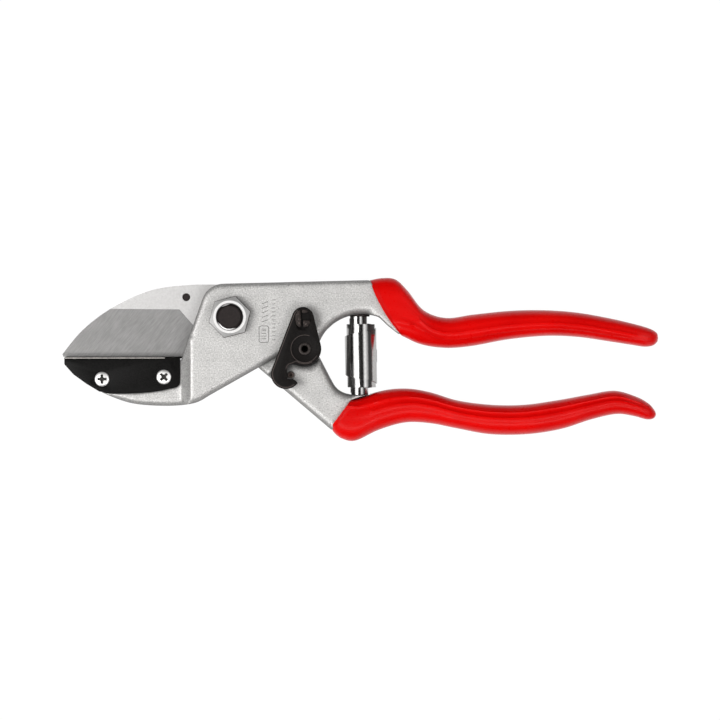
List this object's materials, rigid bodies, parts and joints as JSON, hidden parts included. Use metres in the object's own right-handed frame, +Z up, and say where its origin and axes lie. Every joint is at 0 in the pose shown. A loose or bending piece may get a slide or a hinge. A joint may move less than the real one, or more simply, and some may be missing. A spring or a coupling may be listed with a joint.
{
  "type": "anvil pruner",
  "caption": "One-hand pruner whose straight blade closes on a flat anvil, with red grips, a volute return spring and a hook latch.",
  "frame": {"origin": "on the pivot axis, at the flat underside of the bolt head, which is the plane the tool lies on", "axes": "+X from the jaw to the grips, +Y across the tool towards the anvil handle's grip, +Z up through its thickness, towards the nut"},
  "size_m": [0.2249, 0.0616, 0.022],
  "materials": {
    "forged_aluminium": "blasted satin",
    "red_grip": "semi-gloss coating",
    "black_anvil": "slightly glossy",
    "bright_screw": "bright zinc",
    "bright_nut": "polished",
    "dark_steel": "dark oxide",
    "rivet_steel": "dark oxide",
    "washer_steel": "plain",
    "bearing_bronze": "plain",
    "spring_steel": "polished",
    "blade_steel": "satin with ground bevels",
    "latch_plastic": "moulded satin"
  },
  "bodies": {
    "anvil_side": {"anvil_handle": "forged_aluminium", "upper_grip": "red_grip", "anvil_blade": "black_anvil", "anvil_screws": "bright_screw", "pivot_bolt": "dark_steel", "pivot_nut": "bright_nut", "front_friction_washer": "bearing_bronze", "rear_washer": "washer_steel", "return_spring": "spring_steel", "upper_spring_seat": "dark_steel", "latch_rivet": "rivet_steel", "latch_wave_washer": "washer_steel"},
    "blade_side": {"blade_handle": "forged_aluminium", "lower_grip": "red_grip", "cutting_blade": "blade_steel", "blade_pin": "dark_steel", "pivot_bush": "bearing_bronze", "lower_spring_seat": "dark_steel", "lock_pin": "rivet_steel"},
    "latch": {"latch_lever": "latch_plastic"}
  },
  "joints": [
    {"name": "main_pivot", "type": "hinge", "parent": "anvil_side", "child": "blade_side", "pos_m": [0, 0, 0.009], "axis": [0, 0, -1], "range_deg": [0, 30], "deforming": ["return_spring"]},
    {"name": "latch_pivot", "type": "hinge", "parent": "anvil_side", "child": "latch", "pos_m": [0.0282, -0.012, 0.019], "axis": [0, 0, -1], "range_deg": [0, 40]}
  ]
}
